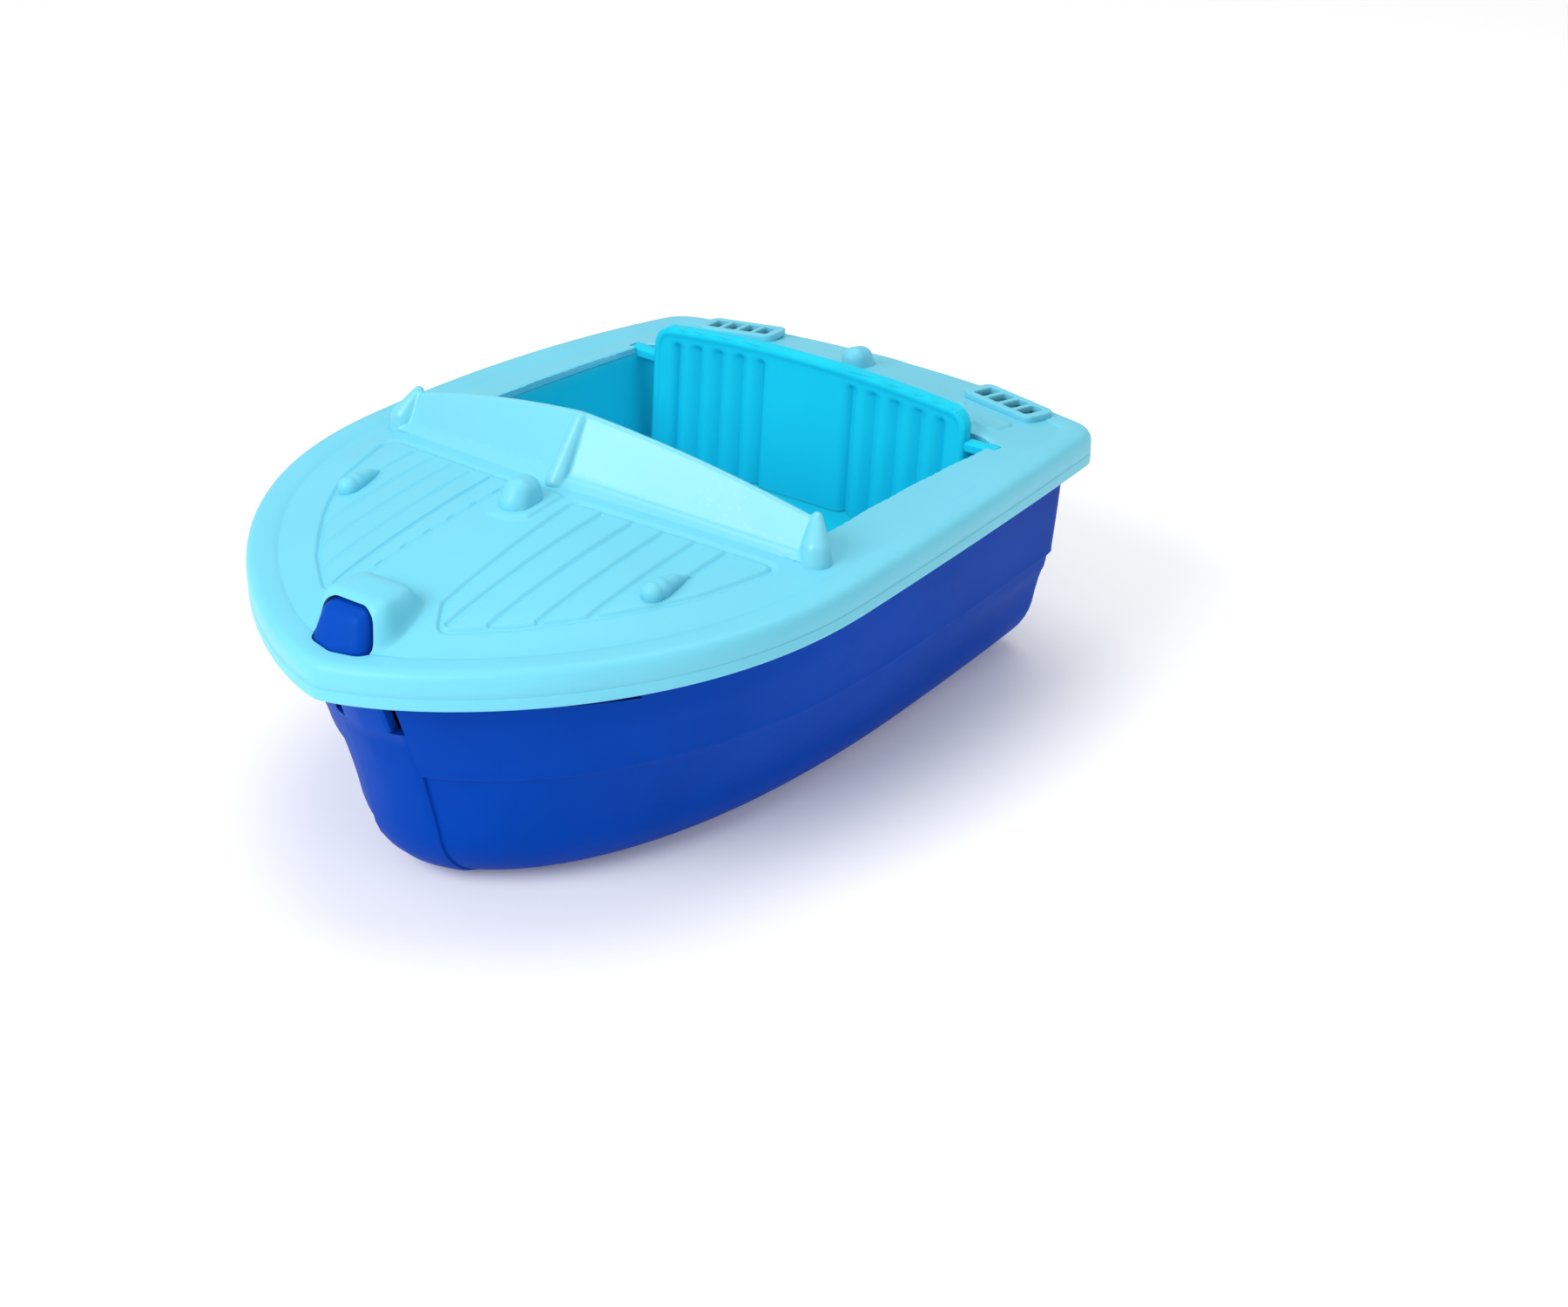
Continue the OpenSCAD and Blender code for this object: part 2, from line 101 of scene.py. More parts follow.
def loft(name, rings, closed=False):
    """A solid through rings of equal length; closed joins the last ring to the first."""
    rings = [np.asarray(r, float) for r in rings]
    n, m = len(rings[0]), len(rings)
    faces = []
    for k in range(m if closed else m - 1):
        a, b = k * n, ((k + 1) % m) * n
        faces += [(a + i, a + (i + 1) % n, b + (i + 1) % n, b + i) for i in range(n)]
    if not closed:
        faces += [tuple(range(n - 1, -1, -1)), tuple(range((m - 1) * n, m * n))]
    return make(name, np.concatenate(rings), faces)


def slab(name, xs, ys, top, low):
    """A solid between two height fields on one grid; low may be a number."""
    nx, ny = len(xs), len(ys)
    gx, gy = np.meshgrid(xs, ys, indexing="ij")
    low = np.broadcast_to(low, gx.shape)
    verts = np.concatenate([np.stack([gx, gy, z], -1).reshape(-1, 3) for z in (top, low)])
    i, j = np.meshgrid(np.arange(nx - 1), np.arange(ny - 1), indexing="ij")
    a = (i * ny + j).ravel()
    up = np.stack([a, a + ny, a + ny + 1, a + 1], -1)
    k = nx * ny
    rim = np.concatenate([
        np.arange(ny), np.arange(1, nx) * ny + ny - 1,
        (nx - 1) * ny + np.arange(ny - 2, -1, -1), np.arange(nx - 2, 0, -1) * ny])
    nxt = np.roll(rim, -1)
    faces = np.concatenate([up, up[:, ::-1] + k, np.stack([rim, nxt, nxt + k, rim + k], -1)])
    return make(name, verts, faces.tolist())


def pod(name, balls, detail=4):
    """The convex hull of balls (x, y, z, r)."""
    one = bmesh.new()
    bmesh.ops.create_icosphere(one, subdivisions=detail, radius=1)
    unit = [v.co.copy() for v in one.verts]
    one.free()
    bm = bmesh.new()
    for x, y, z, r in balls:
        for v in unit:
            bm.verts.new((v * r + Vector((x, y, z))) * MM)
    bmesh.ops.convex_hull(bm, input=bm.verts)
    bmesh.ops.delete(bm, geom=[v for v in bm.verts if not v.link_faces], context="VERTS")
    bmesh.ops.recalc_face_normals(bm, faces=bm.faces)
    me = bpy.data.meshes.new(name)
    bm.to_mesh(me)
    bm.free()
    ob = bpy.data.objects.new(name, me)
    bpy.context.scene.collection.objects.link(ob)
    return ob


def prism(name, plan, z0, z1):
    """A vertical prism on a plan of x, y points."""
    plan = np.asarray(plan, float)
    return loft(name, [np.column_stack([plan, np.full(len(plan), z)]) for z in (z0, z1)])


def turn_about(ob, matrix):
    """Moves ob's mesh, and leaves its origin where it is."""
    ob.data.transform(matrix)
    return ob


def place(x, y, z, rx=0, ry=0, rz=0):
    """A placement in millimetres and degrees: turned about X, then Y, then Z, then moved."""
    m = Matrix.Translation(Vector((x, y, z)) * MM)
    for angle, axis in ((rz, "Z"), (ry, "Y"), (rx, "X")):
        m = m @ Matrix.Rotation(math.radians(angle), 4, axis)
    return m


def near(px, py, line):
    """Distance from each point to the nearest of line's closely spaced points."""
    out = np.empty(px.size)
    flat = np.stack([px.ravel(), py.ravel()], -1)
    for k in range(0, len(flat), 8000):
        q = flat[k:k + 8000]
        out[k:k + 8000] = np.sqrt(((q[:, None] - line[None]) ** 2).sum(-1).min(1))
    return out.reshape(px.shape)


def run_length(points):
    """How far along the polyline each of its points lies."""
    return np.concatenate([[0], np.cumsum(np.hypot(*np.diff(points, axis=0).T))])


def resampled(points, n):
    """The polyline through points, as n evenly spaced points."""
    p = np.asarray(points, float)
    s = run_length(p)
    t = np.linspace(0, s[-1], n)
    return np.column_stack([np.interp(t, s, p[:, 0]), np.interp(t, s, p[:, 1])])


def spaced(points, gap):
    """The polyline through points, resampled at about gap."""
    return resampled(points, max(2, int(run_length(np.asarray(points, float))[-1] / gap) + 1))


def rounded(corners, radius, steps=8):
    """A closed polygon with its corners rounded."""
    out = []
    n = len(corners)
    for k in range(n):
        a, b, c = (np.array(corners[(k + d) % n], float) for d in (-1, 0, 1))
        u, w = (a - b) / np.linalg.norm(a - b), (c - b) / np.linalg.norm(c - b)
        half = math.acos(max(-1, min(1, float(u @ w)))) / 2
        r = radius[k] if isinstance(radius, (list, tuple)) else radius
        cut = min(r / math.tan(half), 0.45 * min(np.linalg.norm(a - b), np.linalg.norm(c - b)))
        p, q = b + u * cut, b + w * cut
        for t in np.linspace(0, 1, steps):
            out.append((1 - t) ** 2 * p + 2 * t * (1 - t) * b + t * t * q)
    return np.array(out)


def step(t):
    """A smooth step from 0 to 1 as t goes from 0 to 1."""
    t = np.clip(t, 0, 1)
    return t * t * (3 - 2 * t)


def blurred(field, cells):
    """A Gaussian blur of a grid, cells wide."""
    r = max(1, int(cells * 2.5))
    w = np.exp(-0.5 * (np.arange(-r, r + 1) / cells) ** 2)
    w /= w.sum()
    for axis in (0, 1):
        pad = np.pad(field, [(r, r) if a == axis else (0, 0) for a in (0, 1)], mode="edge")
        n = field.shape[axis]
        field = sum(wk * np.take(pad, np.arange(k, k + n), axis) for k, wk in enumerate(w))
    return field


# ---------------------------------------------------------------- the boat's lines, as in the CAD
# Bow tip, widest place, half beam, stern corners and the sides' taper towards the stern
BOW, WIDE, BEAM, STERN, TAPER = 125.0, 14.7, 86.0, 114.6, 0.00063
# Deck edge at its highest, its fall towards both ends from HOG_X, and the slope up to the centre ridge
DECK_Z, HOG, HOG_X, ROOF = 80.7, 0.00045, 27.3, 0.13
LIP, INSET, WALL, BILGE = 10.3, 5.0, 2.4, 20.3
# The bow curve's two powers, then an outline: tip, widest place, half beam, the powers, taper, stern,
# corner radius and how far the transom bulges
POWER_X, POWER_Y = 2.27, 1.39
DECK_O = np.array([BOW, WIDE, BEAM, POWER_X, POWER_Y, TAPER, STERN, 12, 10.4])
NPTS = 300


def half_ring(o, n=NPTS):
    """Port half of an outline, bow tip first."""
    tip, wide, half, pb, qb, taper, stern, r, bowed = o
    a0 = math.atan(2 * taper * (wide + stern))
    a1 = math.pi / 2 - math.atan(2.5 * bowed / half)
    x0 = -stern + r * (math.sin(a1) - math.sin(a0))
    y0 = half - taper * (x0 - wide) ** 2
    cx, cy = x0 + r * math.sin(a0), y0 - r * math.cos(a0)
    ex, ey = cx - r * math.sin(a1), cy + r * math.cos(a1)
    t = np.linspace(0, math.pi / 2, 400)
    bow = np.column_stack([wide + (tip - wide) * np.cos(t) ** (2 / pb), half * np.sin(t) ** (2 / qb)])
    x = np.linspace(wide, x0, 120)[1:]
    side = np.column_stack([x, half - taper * (x - wide) ** 2])
    a = np.linspace(a0, a1, 40)[1:]
    corner = np.column_stack([cx - r * np.sin(a), cy + r * np.cos(a)])
    y = np.linspace(ey, 0, 60)[1:]
    back = np.column_stack([ex - bowed * (1 - (y / ey) ** 2), y])
    return resampled(np.concatenate([bow, side, corner, back]), n)


def full(h):
    """The whole outline from its port half."""
    return np.concatenate([h, h[-2:0:-1] * [1, -1]])


def inner(o, d):
    """The outline o drawn in by d."""
    o = np.array(o, float)
    o[[0, 2, 6]] -= d
    o[7] = max(1, o[7] - d)
    return o


def half_at(x):
    """Half width of the deck at x."""
    f = np.clip((x - WIDE) / (BOW - WIDE), 0, 1)
    return np.where(x > WIDE, BEAM * (1 - f**POWER_X) ** (1 / POWER_Y), BEAM - TAPER * (x - WIDE) ** 2)


def sheer(x):
    """Height of the deck edge at x."""
    return DECK_Z - HOG * (x - HOG_X) ** 2


def deck_at(x, y):
    """Height of the plain deck at x, y."""
    x, y = np.asarray(x, float), np.asarray(y, float)
    slope = np.where(x > 0, ROOF, np.maximum(0.05, ROOF + 0.0009 * x))
    rise = half_at(x) - 12 - (np.sqrt(y * y + 36) - 1)
    return sheer(x) + slope * (rise + np.sqrt(rise**2 + 9)) / 2


# ---------------------------------------------------------------- materials
def plastic(name, color, rough, edge=0.12, shift=0.02, shine=0.25):
    """Moulded plastic: slight colour and gloss drift, a fine tool grain, and edges rubbed paler."""
    ma = bpy.data.materials.new(name)
    ma.use_nodes = True
    nt = ma.node_tree
    nodes, link = nt.nodes, nt.links.new
    bsdf = nodes["Principled BSDF"]
    where = nodes.new("ShaderNodeTexCoord")
    drift = nodes.new("ShaderNodeTexNoise")
    drift.inputs["Scale"].default_value = 28
    drift.inputs["Detail"].default_value = 4
    link(where.outputs["Object"], drift.inputs["Vector"])
    tint = nodes.new("ShaderNodeValToRGB")
    dark = [c * (1 - shift * 1.6) for c in color]
    light = [min(1, c * (1 + shift)) for c in color]
    tint.color_ramp.elements[0].position, tint.color_ramp.elements[1].position = 0.3, 0.72
    tint.color_ramp.elements[0].color = (*dark, 1)
    tint.color_ramp.elements[1].color = (*light, 1)
    link(drift.outputs["Fac"], tint.inputs["Fac"])
    shape = nodes.new("ShaderNodeNewGeometry")
    worn = nodes.new("ShaderNodeMapRange")
    worn.inputs["From Min"].default_value, worn.inputs["From Max"].default_value = 0.53, 0.66
    worn.inputs["To Max"].default_value = edge
    link(shape.outputs["Pointiness"], worn.inputs["Value"])
    rub = nodes.new("ShaderNodeMixRGB")
    rub.inputs["Color2"].default_value = (*[min(1, c + 0.35 * (1 - c)) for c in color], 1)
    link(worn.outputs["Result"], rub.inputs["Fac"])
    link(tint.outputs["Color"], rub.inputs["Color1"])
    link(rub.outputs["Color"], bsdf.inputs["Base Color"])
    gloss = nodes.new("ShaderNodeMapRange")
    gloss.inputs["To Min"].default_value, gloss.inputs["To Max"].default_value = rough - 0.05, rough + 0.06
    smudge = nodes.new("ShaderNodeTexNoise")
    smudge.inputs["Scale"].default_value = 75
    smudge.inputs["Detail"].default_value = 6
    link(where.outputs["Object"], smudge.inputs["Vector"])
    link(smudge.outputs["Fac"], gloss.inputs["Value"])
    link(gloss.outputs["Result"], bsdf.inputs["Roughness"])
    fine = nodes.new("ShaderNodeTexNoise")
    fine.inputs["Scale"].default_value = 2600
    fine.inputs["Detail"].default_value = 2
    link(where.outputs["Object"], fine.inputs["Vector"])
    flow = nodes.new("ShaderNodeTexNoise")
    flow.inputs["Scale"].default_value = 55
    link(where.outputs["Object"], flow.inputs["Vector"])
    bump = nodes.new("ShaderNodeBump")
    bump.inputs["Strength"].default_value = 0.1
    bump.inputs["Distance"].default_value = 0.00006
    link(fine.outputs["Fac"], bump.inputs["Height"])
    sink = nodes.new("ShaderNodeBump")
    sink.inputs["Strength"].default_value = 0.12
    sink.inputs["Distance"].default_value = 0.0006
    link(flow.outputs["Fac"], sink.inputs["Height"])
    link(bump.outputs["Normal"], sink.inputs["Normal"])
    link(sink.outputs["Normal"], bsdf.inputs["Normal"])
    bsdf.inputs["IOR"].default_value = 1.48
    bsdf.inputs["Specular IOR Level"].default_value = shine
    return ma


BLUE = plastic("hull_blue", (0.0, 0.052, 0.4), rough=0.45, shift=0.06, shine=0.03)
BLUE_THIN = plastic("latch_blue", (0.0, 0.06, 0.43), rough=0.42, edge=0.0, shift=0.05, shine=0.05)
SKY = plastic("deck_sky_blue", (0.16, 0.6, 0.76), rough=0.4)
SKY_CLEAR = plastic("screen_sky_blue", (0.17, 0.6, 0.74), rough=0.33, shine=0.5)
# The tub and seat are the deck's own plastic; this copy is painted deeper and bluer to stand in for the shade
# and bounced light inside the cockpit
SKY_CAVITY_SHADE = plastic("cockpit_sky_blue_painted_shade", (0.01, 0.58, 0.78), rough=0.42, shine=0.05)


def finish_piece(ob, body, material, slot, *nodes, angle=35):
    """Paints a piece, smooths its shading and puts it on its body."""
    ob.data.materials.clear()
    ob.data.materials.append(material)
    for p in ob.data.polygons:
        p.use_smooth = True
    bm = bmesh.new()
    bm.from_mesh(ob.data)
    bmesh.ops.remove_doubles(bm, verts=bm.verts, dist=2e-6)
    limit = math.radians(angle)
    for e in bm.edges:
        e.smooth = not (len(e.link_faces) == 2 and e.calc_face_angle(0) > limit)
    bm.to_mesh(ob.data)
    bm.free()
    if body:
        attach(ob, body)
    if nodes:
        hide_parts(*nodes)
    return ob


# ---------------------------------------------------------------- hull
# Height of each level that is set, and its outline
HULL_KEYS = [
    (19.0, np.array([100, -50, 64, 2.5, 1.9, 0.0003, 107, 7, 7])),
    (40.0, np.array([104, -15, 72, 2.4, 1.65, 0.0006, 107, 9, 8])),
    (58.0, np.array([110, 5, BEAM - INSET - 4.5, 2.3, 1.5, TAPER, 107, 10, 9])),
    (DECK_Z - 4, np.array([116, WIDE, BEAM - INSET - 1, 2.27, 1.4, TAPER + 0.0001, STERN - 6, 11, 9.5])),
]
# The strake: the upper side stands this much proud of the lower, above this height
STRAKE_Z, STRAKE = 40.0, 1.1
# The stem strip, the tongue cut from its upper part, and the foot of the slots beside the tongue
STEM_W, TONGUE_W, SLOT_Z = 23, 15.6, 52
# The lower hull falls with the deck edge by this share
LOW_FOLLOW = 0.7
# The snap windows and hooks lie along the side, turned this far from the centre line
SNAP_TURN = 42


def hull_o(z):
    """Outline of the hull at height z, before the bilge."""
    z = max(z, HULL_KEYS[0][0])
    for (z0, a), (z1, b) in zip(HULL_KEYS, HULL_KEYS[1:]):
        if z <= z1 or z1 == HULL_KEYS[-1][0]:
            t = (z - z0) / (z1 - z0)
            return a * (1 - t) + b * t


def bilge(z):
    """How far the round bilge draws the hull in at height z."""
    return 0 if z >= BILGE else BILGE - math.sqrt(BILGE**2 - (BILGE - z) ** 2)


def hull_ring(z, out, follow, lift=0):
    """One level of the hull, grown by out; follow lets it fall with the deck edge."""
    o, d = hull_o(z).copy(), bilge(z) - out
    o[[0, 2]] -= d
    o[6] -= d * 0.35
    o[7] = max(1.5, o[7] - d * 0.2)
    ring = full(half_ring(o))
    return np.column_stack([ring, z + lift - follow * (DECK_Z - sheer(ring[:, 0]))])


def low_follow(z):
    """How much the lower hull falls with the deck edge at height z."""
    return LOW_FOLLOW * step(max(0, z - 25) / 12)


def high_follow(z):
    """How much the upper hull falls with the deck edge at height z: wholly so at the deck."""
    return LOW_FOLLOW + (1 - LOW_FOLLOW) * step((z - STRAKE_Z - 1) / 30)


def stem_x(z, y):
    """Front of the stem strip at height z, y from the middle."""
    lead = (DECK_Z - sheer(115)) * low_follow(z)
    o, b = hull_o(z + lead), bilge(z)
    fall = 1 - (1 - (np.abs(y) / (o[2] - b)) ** o[4]) ** (1 / o[3])
    return (o[0] - b + STRAKE + 0.15) - (o[0] - b - o[1]) * fall


def stem_loft(name, levels, width, thick):
    """A strip on the front of the stem, with slightly rounded sides."""
    ys = np.linspace(-width / 2, width / 2, 25)
    rings = []
    for z in levels:
        x = stem_x(z, ys)
        edge = np.minimum(1, (width / 2 - np.abs(ys)) / 0.7)
        front = np.column_stack([x - 0.5 * (1 - edge) ** 2, ys, np.full(25, z)])
        rings.append(np.concatenate([front, (front - [thick, 0, 0])[::-1]]))
    return loft(name, rings)


def hull():
    """The hull moulding, open at the top, with its stem strip, latch slots and snap windows."""
    low = [0, 0.25, 1, 2.2, 4, 6.2, 8.5, 11, 13.5, 16.2, BILGE, 22, 25, 29, 33, 36.5]
    high = [44, 50, 55, 58, 60, 61.5, 63, 64.5, 66, 67.5, 69, 70.5, 72, 74.5, DECK_Z - 3.8]
    strake = [(-0.9, 0.0), (-0.55, 0.12), (-0.35, 0.9), (0.1, 1.22), (1.2, 1.12)]
    outer = [hull_ring(z, 0.0, low_follow(z)) for z in low]
    outer += [hull_ring(STRAKE_Z + dz, out, LOW_FOLLOW) for dz, out in strake]
    outer += [hull_ring(z, STRAKE, high_follow(z)) for z in high]
    outer += [hull_ring(DECK_Z - 3.4, 0.8, 1)]
    inside = [hull_ring(z, STRAKE - WALL, high_follow(z)) for z in (DECK_Z - 3.4, 66, 58, 44)]
    inside += [hull_ring(z, -WALL, low_follow(z), 0.8) for z in (33, 25, BILGE, 13.5, 8.5, 4)]
    inside += [hull_ring(0.5, -WALL, 0, WALL - 0.5)]
    body = loft("hull", outer + inside)
    strip = stem_loft("strip", [0, 0.4, 1.5, 3, 5, 8, 11, 15, 19, 25, 30, 36, 41, 47, SLOT_Z], STEM_W, 3.4)
    combine(body, [strip], "UNION")
    side = STEM_W / 2
    bow = prism("bow", [(88, -side), (133, -side), (133, side), (88, side)], SLOT_Z, 92)
    windows = []
    for s in (-1, 1):
        win = prism("window", rounded([(-9.5, -8), (9.5, -8), (9.5, 8), (-9.5, 8)], 0.6, 3), -2.6, 2.2)
        windows.append(turn_about(win, place(82, s * 53.5, DECK_Z - LIP - 4.4, rz=-s * SNAP_TURN)))
    combine(body, [bow] + windows, "DIFFERENCE")
    return finish_piece(body, "boat", BLUE, "hull", "hull_shell")


hull()


# ---------------------------------------------------------------- bow latch
def nose_balls(grow, room, ahead=0.0):
    """Balls that span the thumb nose; the opening round it is grown, with room aft and ahead."""
    b = [(115.2 + ahead, 0, 76, 3.4 + grow)]
    for s in (-1, 1):
        for z in (72.4 - room, 77):
            b += [(113.9 + ahead, s * 5.2, z, 3.4 + grow), (106.5 - room, s * 5.1, z, 3.4 + grow)]
        b += [(111.6 + ahead, s * 4.1, 82.7, 3.4 + grow), (107.5 - room, s * 3.9, 82.9, 3.4 + grow)]
    return b


def latch():
    """The springy tongue and its thumb nose."""
    nose = pod("nose", nose_balls(0, 0))
    base = prism("base", [(99, -12), (121, -12), (121, 12), (99, 12)], 60, 72)
    combine(nose, [base], "DIFFERENCE")
    moulded(nose, FINE, 12)
    tongue = stem_loft("tongue", [SLOT_Z - 1, 52.2, 53.4, 56, 60, 64, 68, 72.6], TONGUE_W, WALL)
    combine(nose, [tongue], "UNION")
    nose.name = "bow_latch_moulding"
    finish_piece(nose, None, BLUE_THIN, "hull_light", "bow_latch")
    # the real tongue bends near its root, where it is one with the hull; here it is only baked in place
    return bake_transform(nose)


latch()


# ---------------------------------------------------------------- deck
# Section of the overhanging rim: distance in from the deck's outline, and height above its edge
RIM = [
    (2.2, -LIP), (1.2, -LIP), (0.5, -LIP + 0.2), (0.12, -LIP + 0.6), (0.02, -LIP + 1.1), (0.0, -6.9),
    (0.0, -6.75), (0.16, -6.6), (0.16, -6.5), (0.0, -6.35), (0.02, -3.7), (0.12, -2.5), (0.42, -1.55),
    (0.95, -0.8), (1.65, -0.32), (2.5, -0.08), (3.5, 0.0), (5.6, -0.02), (7.2, -0.08), (8.0, -0.2),
    (8.7, -0.42), (9.4, -0.6), (10.4, -0.72), (11.2, -1.1),
    (11.2, -2.4), (6.2, -2.4), (2.9, -3.6), (2.2, -4.4),
]
COCKPIT_CORNERS = [(12, 64), (-80, 62), (-80, -62), (12, -64)]
COCKPIT_R = 6.5
COCKPIT = rounded(COCKPIT_CORNERS, COCKPIT_R, 12)
# The outlined foredeck panel on the port side: inner edge, bow corners, then the side beside the rim
PANEL = rounded(
    [(39.5, 10.2), (92.3, 13.1), (100.6, 18.6), (95.9, 24.6), (88.6, 33.2), (79.8, 40.9), (71.4, 47.7),
     (62.4, 53.6), (51.6, 59.4), (39.9, 63.0), (27.4, 66.2)],
    [3, 3, 3, 3, 9, 9, 9, 9, 9, 9, 3.2])
# Plank lines: distance from the centre line, and where each ends at the panel's side
PLANKS = [(18.7, 98.5), (27.1, 93.0), (35.6, 85.2), (44.1, 76.0), (52.5, 48.0)]
# The hood over the latch, as balls on the port side
HOOD = [
    (107.4, 6.5, 83.7, 4.6), (100.2, 5.6, 83.6, 4.8), (110.6, 6.9, 74, 4.4), (97, 5.6, 75.6, 5.2),
    (107.4, 3, 84.5, 4.0), (101.5, 3, 84.8, 4.0)]


def groove_lines():
    """Panel outline and plank lines on the port side, closely sampled."""
    lines = [spaced(np.concatenate([PANEL, PANEL[:1]]), 0.25)]
    for y, x1 in PLANKS:
        x0 = 39.5 - (y - 10.2) * 12.1 / 56
        lines.append(spaced([(x0 + 1.5, y), (x1 - 1.2, y)], 0.25))
    return np.concatenate(lines)


def deck_height(gx, gy):
    """The top of the deck, with everything moulded on it that has no undercut."""
    ay = np.abs(gy)
    edge = near(gx, ay, spaced(half_ring(DECK_O), 0.6))
    edge = np.where(ay < half_at(gx), edge, 0)
    z = deck_at(gx, gy) - 0.68 * (1 - step((edge - 9) / 17))
    fore = (gx > 22) & (gx < 106)
    gap = np.full(gx.shape, 9.0)
    gap[fore] = near(gx[fore], ay[fore], groove_lines())
    z = z - 0.85 * np.clip(1 - (gap / 0.9) ** 2, 0, 1)
    # pads behind the seat's corners
    pad = near(gx, ay, spaced([(-92.6, 51.6), (-92.6, 55.4), (-88.2, 55.0), (-88.2, 52), (-92, 53.5)], 0.3))
    z = z + 0.75 * (1 - step((pad - 2.2) / 0.9))
    nub = np.hypot(gx + 98, ay - 38.6)
    z = z + 0.6 * (1 - step((nub - 0.8) / 0.9))
    # a thin plate under the horn, with its front corners cut off, and one under the stern knob
    front = np.maximum.reduce([ay - 6.4, 40.2 - gx, gx - 57.4, (ay - 2.9) * 0.72 + (gx - 57.4) * 0.69])
    z = z + 0.8 * (1 - step((front + 0.5) / 1.1))
    back = np.maximum.reduce([ay - 6.0, np.abs(gx + 101) - 6.5])
    z = z + 0.45 * (1 - step((back + 0.5) / 1.1))
    # the opening's edge is rounded over
    hole = near(gx, ay, spaced(COCKPIT, 0.4))
    t = np.clip(1 - hole / 1.6, 0, 1)
    return z - 1.0 * (1 - np.sqrt(1 - t * t))


def hood_height(gx, gy, z):
    """The hood over the latch, laid on the deck and melted into it."""
    balls = [(x, s * y, h, r) for x, y, h, r in HOOD for s in (-1, 1)]
    form = pod("hood_form", balls)
    tree = BVHTree.FromObject(form, bpy.context.evaluated_depsgraph_get())
    rise = np.zeros(gx.shape)
    near_it = (gx > 86) & (gx < 121) & (np.abs(gy) < 17)
    for i, j in zip(*np.nonzero(near_it)):
        hit = tree.ray_cast(Vector((gx[i, j], gy[i, j], 200)) * MM, Vector((0, 0, -1)))[0]
        if hit is not None:
            rise[i, j] = max(0, hit.z / MM - z[i, j])
    bpy.data.objects.remove(form)
    return z + blurred(rise, 0.8 / CELL)


def deck():
    """The deck moulding: sheet, rim and hood, with its openings and snap hooks."""
    xs = np.arange(-127, 127.01, CELL)
    ys = np.arange(-88, 88.01, CELL)
    gx, gy = np.meshgrid(xs, ys, indexing="ij")
    top = hood_height(gx, gy, deck_height(gx, gy))
    sheet = slab("deck", xs, ys, top, 60.0)
    cx, cy = np.arange(-130, 130.1, 4.0), np.arange(-90, 90.1, 4.0)
    hx, hy = np.meshgrid(cx, cy, indexing="ij")
    under = slab("under", cx, cy, deck_at(hx, hy) - 2.6, 50.0)
    plan = full(half_ring(inner(DECK_O, 8.0)))
    combine(sheet, [prism("plan", plan, 40, 120)], "INTERSECT")
    combine(sheet, [under], "DIFFERENCE")
    rings = []
    for d, dz in RIM:
        ring = full(half_ring(inner(DECK_O, d)))
        rings.append(np.column_stack([ring, sheer(ring[:, 0]) + dz]))
    rim = loft("rim", rings, closed=True)
    combine(sheet, [rim], "UNION")
    room = ((106, 4.5, 81.2), (108, 4.5, 60), (101, 3.9, 81.2), (101, 3.9, 60))
    hollow = pod("hollow", [(x, s * y, z, 4.5) for s in (-1, 1) for x, y, z in room], 3)
    nose = pod("opening", nose_balls(0.9, 3.6, -0.5), 3)
    hole = prism("hole", COCKPIT, 40, 110)
    cuts = [hollow, nose, hole]
    for s in (-1, 1):
        notch = rounded([(-77.9, 56), (-73.4, 56), (-73.4, 64.9), (-77.9, 64.9)], 0.8, 4) * [1, s]
        cuts.append(prism("notch", notch, 74.6, 90))
        well = prism("well", rounded([(-4.2, -10.7), (4.2, -10.7), (4.2, 10.7), (-4.2, 10.7)], 1, 4), -6, 6)
        cuts.append(turn_about(well, vent_place(s)))
    combine(sheet, cuts, "DIFFERENCE")
    hooks = []
    for s in (-1, 1):
        stem = prism("hook", [(-6, -1), (6, -1), (6, 1), (-6, 1)], -1.5, 12)
        nib = prism("nib", [(-6, 0.1 * s), (6, 0.1 * s), (6, 3.5 * s), (-6, 3.5 * s)], -1.8, 0.2)
        combine(stem, [nib], "UNION")
        hooks.append(turn_about(stem, place(78.9, s * 50.1, DECK_Z - LIP - 4, rz=-s * SNAP_TURN)))
    combine(sheet, hooks, "UNION")
    sheet.name = "deck_moulding"
    return finish_piece(sheet, "boat", SKY, "deck", "deck_shell", angle=50)


def vent_place(s):
    """Where the vent lies on the stern deck, s is 1 to port and -1 to starboard."""
    return place(-108, s * 48, float(deck_at(-108, 48)), rz=-s * 9) @ place(0, 0, 0, rx=-s * 2.5, ry=-7)


deck()


# ---------------------------------------------------------------- windscreen
SCREEN_HALF = 70
# The screen leans in towards its top by this factor
SCREEN_NARROW = 0.965
# Half thickness of the screen, from under its foot (t < 0) to its top edge (t = 1)
SCREEN_HALF_T = [
    (-0.16, 3.2), (0.0, 2.2), (0.05, 1.5), (0.14, 1.25), (0.5, 1.15), (0.93, 1.05), (0.975, 0.8), (1.0, 0.35)]


def screen_base(y):
    """Foot of the windscreen at y, as x and height."""
    a = np.abs(y) / SCREEN_HALF
    x = 33.7 * (1 - a) + 18.2 * a
    return x, deck_at(x, y)


def screen_top(y):
    """Top of the windscreen at y, as x and height."""
    a = np.abs(y) / SCREEN_HALF
    return 22.9 * (1 - a) + 13.9 * a, 105.0 - 0.13 * np.abs(y) - 0.00115 * y * y


